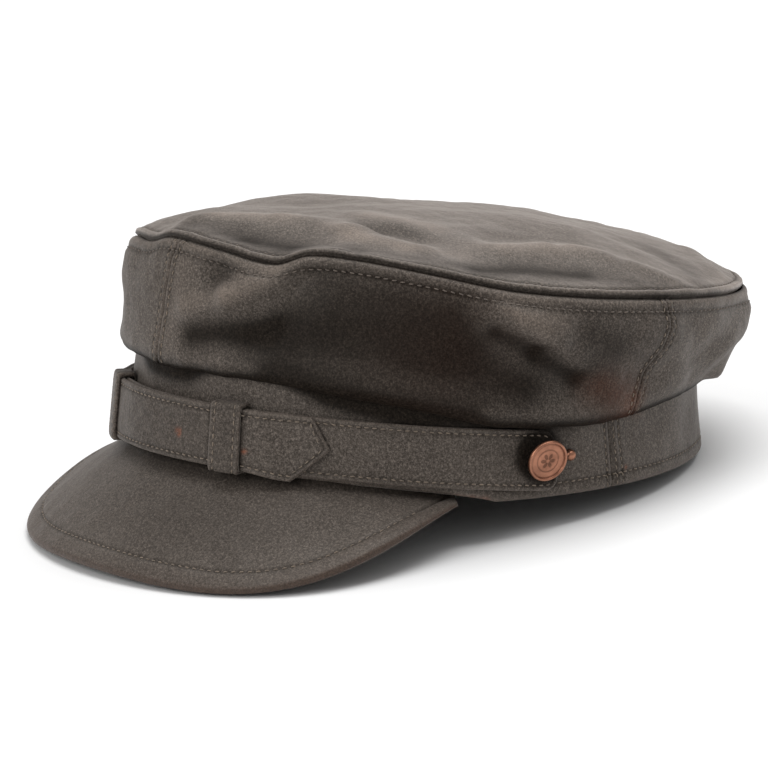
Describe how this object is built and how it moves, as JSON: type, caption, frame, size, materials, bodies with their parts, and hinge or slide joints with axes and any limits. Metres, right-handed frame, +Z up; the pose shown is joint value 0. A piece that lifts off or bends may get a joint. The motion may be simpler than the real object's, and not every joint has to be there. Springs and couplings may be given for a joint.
{
  "type": "oilcloth cap",
  "caption": "Mariner's style oilcloth cap: soft round crown over a stand-up band, stiff sloping peak, strapped front with keepers and copper side buttons",
  "frame": {"origin": "centre of the underside of the whole cap's box, on the surface it rests on", "axes": "+Z up, the peak points to -Y, the wearer's left is +X"},
  "size_m": [0.1956, 0.2616, 0.1099],
  "materials": {
    "oilcloth": "waxed dark brown-grey cotton with a pale bloom and a low sheen",
    "copper": "satin aged copper"
  },
  "bodies": {
    "root": {"crown_top": "oilcloth", "crown_side_left": "oilcloth", "crown_side_right": "oilcloth", "crown_back": "oilcloth", "band_front": "oilcloth", "band_back": "oilcloth", "peak": "oilcloth", "strap_under": "oilcloth", "strap_over": "oilcloth", "keeper_left": "oilcloth", "keeper_right": "oilcloth", "button_left": "copper", "button_right": "copper", "stud_left": "copper", "stud_right": "copper"}
  },
  "joints": []
}
